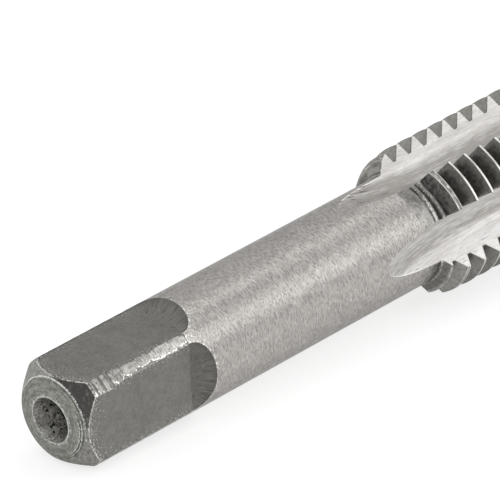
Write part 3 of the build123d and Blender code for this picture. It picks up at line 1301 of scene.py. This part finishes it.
# Each surface's finish. Scratches finer than the camera shows are drawn about 0.1 mm apart.
FINISHES = {
    # Drilled and left rough: dark pits, and a smooth bright rim where a lathe centre has run
    Surface.CENTRE_HOLE: SteelFinish(
        "torn_steel_of_centre_drilling", "656460", "9b9a95", 0.55, Grain(0.2, 0.2), Grain(0.6, 0.6),
        spread=0.12,
        flecks=(
            Flecks(Grain(0.28, 0.28, 3.0), "181816", 0.55, -0.35, 0.09),
            Flecks(Grain(0.16, 0.16), "b6b5b0", 0.64, 0.14, 0.12),
        ),
    ),
    # Turned: fine rings with a dull sheen; the rings' dark colour also paints shade on the outer rim's low
    # back side
    Surface.END_FACE: SteelFinish(
        "turned_hardened_steel", "696964", "92928c", 0.45, Grain(0.09, 0.9), Grain(0.4, 0.4),
        grain_share=0.55,
        spread=0.1,
        rings=True,
        scale_colour="2e2e2b",
        flecks=(
            Flecks(Grain(0.12, 0.2), "babab4", 0.64, 0.35, 0.08),
            Flecks(Grain(0.14, 0.14), "4a4a46", 0.62, 0.0, 0.06),
        ),
    ),
    # Handled edges: bare bright metal, broken by what is left of the dark skin, with painted shade on the end
    # face's rim at its low back side
    Surface.WORN_EDGE: SteelFinish(
        "worn_bright_edge", "6b6a66", "989792", 0.38, Grain(0.2, 0.2), Grain(1.0, 1.0),
        spread=0.12,
        scale_colour="3a3a37",
        flecks=(Flecks(Grain(0.2, 0.2), "dad9d4", 0.7, 0.4, 0.15),),
    ),
    # Turned and hardened: dark skin with painted shade, darkest at the corner at 45 degrees, scratched light
    # where it was handled
    Surface.END_BEVEL: SteelFinish(
        "turned_bevel_under_scale", "7b7b77", "a9a8a3", 0.5, Grain(0.14, 0.3), Grain(0.45, 0.45),
        spread=0.15,
        scale_colour="4b4a48",
        flecks=(Flecks(Grain(0.14, 0.18), "b6b6b0", 0.73, 0.12, 0.1),),
    ),
    # Milled, then hardened: even grey skin with small light scratches towards the edges
    Surface.FLAT: SteelFinish(
        "milled_hardened_steel", "71706d", "82817d", 0.48, Grain(0.2, 0.2), Grain(0.8, 0.8),
        grain_share=0.6,
        spread=0.13,
        scale_colour="3c3b38",
        flecks=(
            Flecks(Grain(0.14, 0.16), "b4b3ae", 0.69, 0.27, 0.1),
            Flecks(Grain(0.16, 0.16), "5a5955", 0.67, 0.16, 0.08),
        ),
    ),
    # Milled by the cutter's corner: a fan of dark scratches, and painted shade that darkens it towards the
    # mill's edge
    Surface.FLAT_RUNOUT: SteelFinish(
        "mill_runout_under_scale", "72716e", "848380", 0.48, Grain(0.9, 0.1), Grain(0.6, 0.4),
        grain_share=0.7,
        spread=0.13,
        follows_cut=True,
        scale_colour="4b4a46",
        flecks=(
            Flecks(Grain(1.0, 0.13), "474643", 0.55, 0.0, 0.2),
            Flecks(Grain(0.5, 0.13), "9d9c97", 0.65, 0.0, 0.1),
        ),
    ),
    # Ground with the shank, then bruised by wrenches: fine ribs across, the dark skin in the hollows, painted
    # shade in the grooves, and light flecks as painted highlights along the patches' lower borders
    Surface.CORNER_LAND: SteelFinish(
        "ground_corner_with_chatter", "84827e", "c8c6c1", 0.38, Grain(0.1, 0.6), Grain(0.3, 0.3),
        spread=0.1,
        relief=0.01,
        scale_colour="6b6a66",
        flecks=(
            Flecks(Grain(0.2, 0.2), "f2f0eb", 0.74, 0.32, 0.1),
            Flecks(Grain(0.14, 0.2), "6f6d68", 0.6, 0.0, 0.08),
        ),
    ),
    # Cylinder ground: short scratches round the bar, which sparkle in the lamps
    Surface.SHANK: SteelFinish(
        "cylinder_ground_steel", "908d8a", "b6b2ae", 0.3, Grain(0.1, 0.4, 2.0), Grain(1.2, 0.8),
        grain_share=0.85,
        spread=0.12,
        relief=0.05,
        edge_tint=0.55,
        flecks=(Flecks(Grain(0.12, 0.22), "e8e5e1", 0.67, 0.2, 0.1),),
    ),
    # Hardened and not ground: blotches of scale, with painted shade towards the top of the middle land and
    # where it faces down on the low land
    Surface.COLLAR: SteelFinish(
        "hardened_steel_left_unground", "8b8985", "b0aeaa", 0.46, Grain(0.2, 0.2), Grain(0.6, 0.8),
        grain_share=0.45,
        spread=0.1,
        scale_colour="3c3b39",
        flecks=(Flecks(Grain(0.3, 0.35), "6f6e6a", 0.6, 0.0, 0.1),),
    ),
    # Cut and hardened: matt dark flanks, darker still where they mirror each other, with painted shade on the
    # middle land's flanks
    Surface.THREAD: SteelFinish(
        "hardened_thread_flank", "7b7a76", "a09f9a", 0.36, Grain(0.16, 0.3), Grain(0.5, 0.5),
        spread=0.2,
        scale_colour="383735",
        flecks=(Flecks(Grain(0.14, 0.2), "b4b3ae", 0.72, 0.5, 0.1),),
    ),
    # The first crest, only touched by the grinding wheel: light lines with dark skin between them
    Surface.BLUNT_CREST: SteelFinish(
        "half_ground_crest", "63625e", "9c9a95", 0.4, Grain(0.1, 0.7), Grain(0.4, 0.5),
        spread=0.12,
        flecks=(Flecks(Grain(0.12, 0.5), "d8d6d1", 0.56, 0.0, 0.08),),
    ),
    # Ground crests: bright lines
    Surface.CREST: SteelFinish(
        "ground_thread_crest", "b0aeaa", "d9d7d3", 0.36, Grain(0.1, 0.6), Grain(0.6, 0.6),
        spread=0.14,
    ),
    # Ground by a wheel that ran along the flute: long fine lines, and dark streaks where it lifted out. The
    # near-white base colours are painted light that lifts the heels, and the grey scale colour paints shade
    # over the round bottoms
    Surface.FLUTE: SteelFinish(
        "ground_flute", "edeae6", "ffffff", 0.5, Grain(1.3, 0.15, 3.0), Grain(5.0, 0.5),
        grain_share=0.6,
        spread=0.11,
        relief=0.002,
        edge_tint=1.0,
        follows_cut=True,
        scale_colour="9c9995",
        flecks=(
            Flecks(Grain(1.6, 0.14, 3.0), "bab6b2", 0.58, 0.05, 0.14),
            Flecks(Grain(0.3, 0.16), "bdbab6", 0.62, 0.0, 0.14),
            Flecks(Grain(1.8, 0.12), "75716d", 0.72, 0.2, 0.1),
        ),
    ),
    # Faced off by grinding
    Surface.POINT: SteelFinish(
        "ground_point", "9a9894", "bab8b4", 0.38, Grain(0.1, 1.5), Grain(1.0, 1.0), rings=True
    ),
}


@dataclass(frozen=True)
class SoftBox:
    """A soft lamp that faces the tap from a direction in the scene's frame."""

    name: str
    direction: tuple[float, float, float]
    size: float
    power: float
    distance: float = 0.6

    def hang(self, aim: Vector) -> bpy.types.Object:
        """Adds the lamp.

        Args:
            aim: The point that it faces.

        Returns:
            The lamp's object.
        """
        data = bpy.data.lights.new(self.name, "AREA")
        data.shape = "DISK"
        data.size = self.size
        data.energy = self.power
        lamp = add_object(self.name, data)
        out = Vector(self.direction).normalized()
        lamp.location = aim + out * self.distance
        lamp.rotation_euler = out.to_track_quat("Z", "Y").to_euler()
        return lamp


@dataclass(frozen=True)
class Studio:
    """Pale floor, soft lamps and the camera, which looks down on the square's end with a long lens."""

    camera_place: tuple[float, float, float] = (-304.999, -281.776, 212.554)
    camera_turn: tuple[float, float, float] = (63.4982, 0.4129, -46.281)
    lens: float = 438.58
    sensor: float = 36.0
    camera_range: tuple[float, float] = (0.01, 20.0)
    aim: tuple[float, float, float] = (0.0, 0.0, 0.006)
    floor_side: float = 3.0
    surround: float = 1.0
    plain_level: float = 0.75
    floor_glow: tuple[float, float] = (0.7, 0.87)
    lamps: tuple[SoftBox, ...] = (
        SoftBox("front_right_softbox", (0.62, -0.61, 0.49), 0.34, 0.44),
        SoftBox("top_back_softbox", (0.62, 0.086, 0.776), 0.14, 0.135),
    )

    def camera(self) -> bpy.types.Object:
        """Sets up the camera at the photo's viewpoint."""
        data = bpy.data.cameras.new("camera")
        data.sensor_width = self.sensor
        data.lens = self.lens
        data.clip_start, data.clip_end = self.camera_range
        made = add_object("camera", data)
        made.location = Vector(self.camera_place) * MILLIMETRE
        made.rotation_euler = Euler([math.radians(v) for v in self.camera_turn])
        bpy.context.scene.camera = made
        return made

    def white_when_seen(
        self, tree: bpy.types.NodeTree, camera: float = 1.0, mirrored: float = 1.0
    ) -> bpy.types.NodeSocket:
        """Adds a value for camera rays, another for reflections and glass, and 0 for the rest."""
        path = add_node(tree, "ShaderNodeLightPath").outputs
        bent = {0: path["Is Glossy Ray"], 1: path["Is Transmission Ray"]}
        bent = add_node(tree, "ShaderNodeMath", bent, use_clamp=True).outputs[0]
        bent = add_node(tree, "ShaderNodeMath", {0: bent, 1: mirrored}, operation="MULTIPLY").outputs[0]
        both = {0: path["Is Camera Ray"], 1: camera, 2: bent}
        return add_node(tree, "ShaderNodeMath", both, operation="MULTIPLY_ADD").outputs[0]

    def world(self) -> None:
        """Pale surround: white where it is seen or mirrored, and a plain level for the light it gives."""
        made = bpy.data.worlds.new("surround")
        tree = fresh_tree(made)
        seen = self.white_when_seen(tree)
        level = {"Value": seen, "To Min": self.plain_level, "To Max": self.surround}
        strength = add_node(tree, "ShaderNodeMapRange", level).outputs[0]
        light = {"Color": linear("ffffff"), "Strength": strength}
        surround = add_node(tree, "ShaderNodeBackground", light)
        add_node(tree, "ShaderNodeOutputWorld", {"Surface": surround.outputs[0]})
        bpy.context.scene.world = made

    def floor(self) -> bpy.types.Object:
        """Adds the white floor, a matt sheet that keeps the shadow and glows a little where it is seen."""
        half = self.floor_side / 2
        mesh = bpy.data.meshes.new("floor")
        corners = [(-half, -half, 0), (half, -half, 0), (half, half, 0), (-half, half, 0)]
        mesh.from_pydata(corners, [], [(0, 1, 2, 3)])
        material = bpy.data.materials.new("matt_white_sheet")
        tree = fresh_tree(material)
        lift = self.white_when_seen(tree, *self.floor_glow)
        matt = {"Base Color": linear("b4b4b4"), "Roughness": 0.9}
        shader = add_node(tree, "ShaderNodeBsdfPrincipled", matt)
        shader.inputs["Emission Color"].default_value = linear("ffffff")
        tree.links.new(lift, shader.inputs["Emission Strength"])
        add_node(tree, "ShaderNodeOutputMaterial", {"Surface": shader.outputs[0]})
        mesh.materials.append(material)
        made = add_object("floor", mesh)
        return made

    def build(self) -> None:
        """Sets up the whole studio."""
        self.camera()
        self.world()
        self.floor()
        for lamp in self.lamps:
            lamp.hang(Vector(self.aim))
        bpy.context.scene.view_settings.view_transform = "Standard"


def build_tap() -> bpy.types.Object:
    """Builds the tap's body with all its finishes and puts it in the CAD solid's place.

    Returns:
        The tap's object.
    """
    body = TapBody()
    middle = (body.square.bevel_end + body.thread.shank_length) / 2
    place = TapFrame.from_record(middle)
    mesh = body.mesh(place)
    for surface in Surface:
        mesh.materials.append(FINISHES[surface].material(place))
    tap = add_object("tap_body", mesh)
    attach(tap, "root")
    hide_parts(NODE)
    triangles = sum(len(p.vertices) - 2 for p in mesh.polygons)
    LOG.info("%s: %d faces, %d triangles", tap.name, len(mesh.polygons), triangles)
    return tap


def main() -> None:
    """Builds the studio and the tap, and reports each piece."""
    logging.basicConfig(level=logging.INFO, format="%(name)s: %(message)s")
    studio = Studio()
    studio.build()
    LOG.info("studio: camera, floor and %d lamps", len(studio.lamps))
    build_tap()


if __name__ == "__main__":
    main()
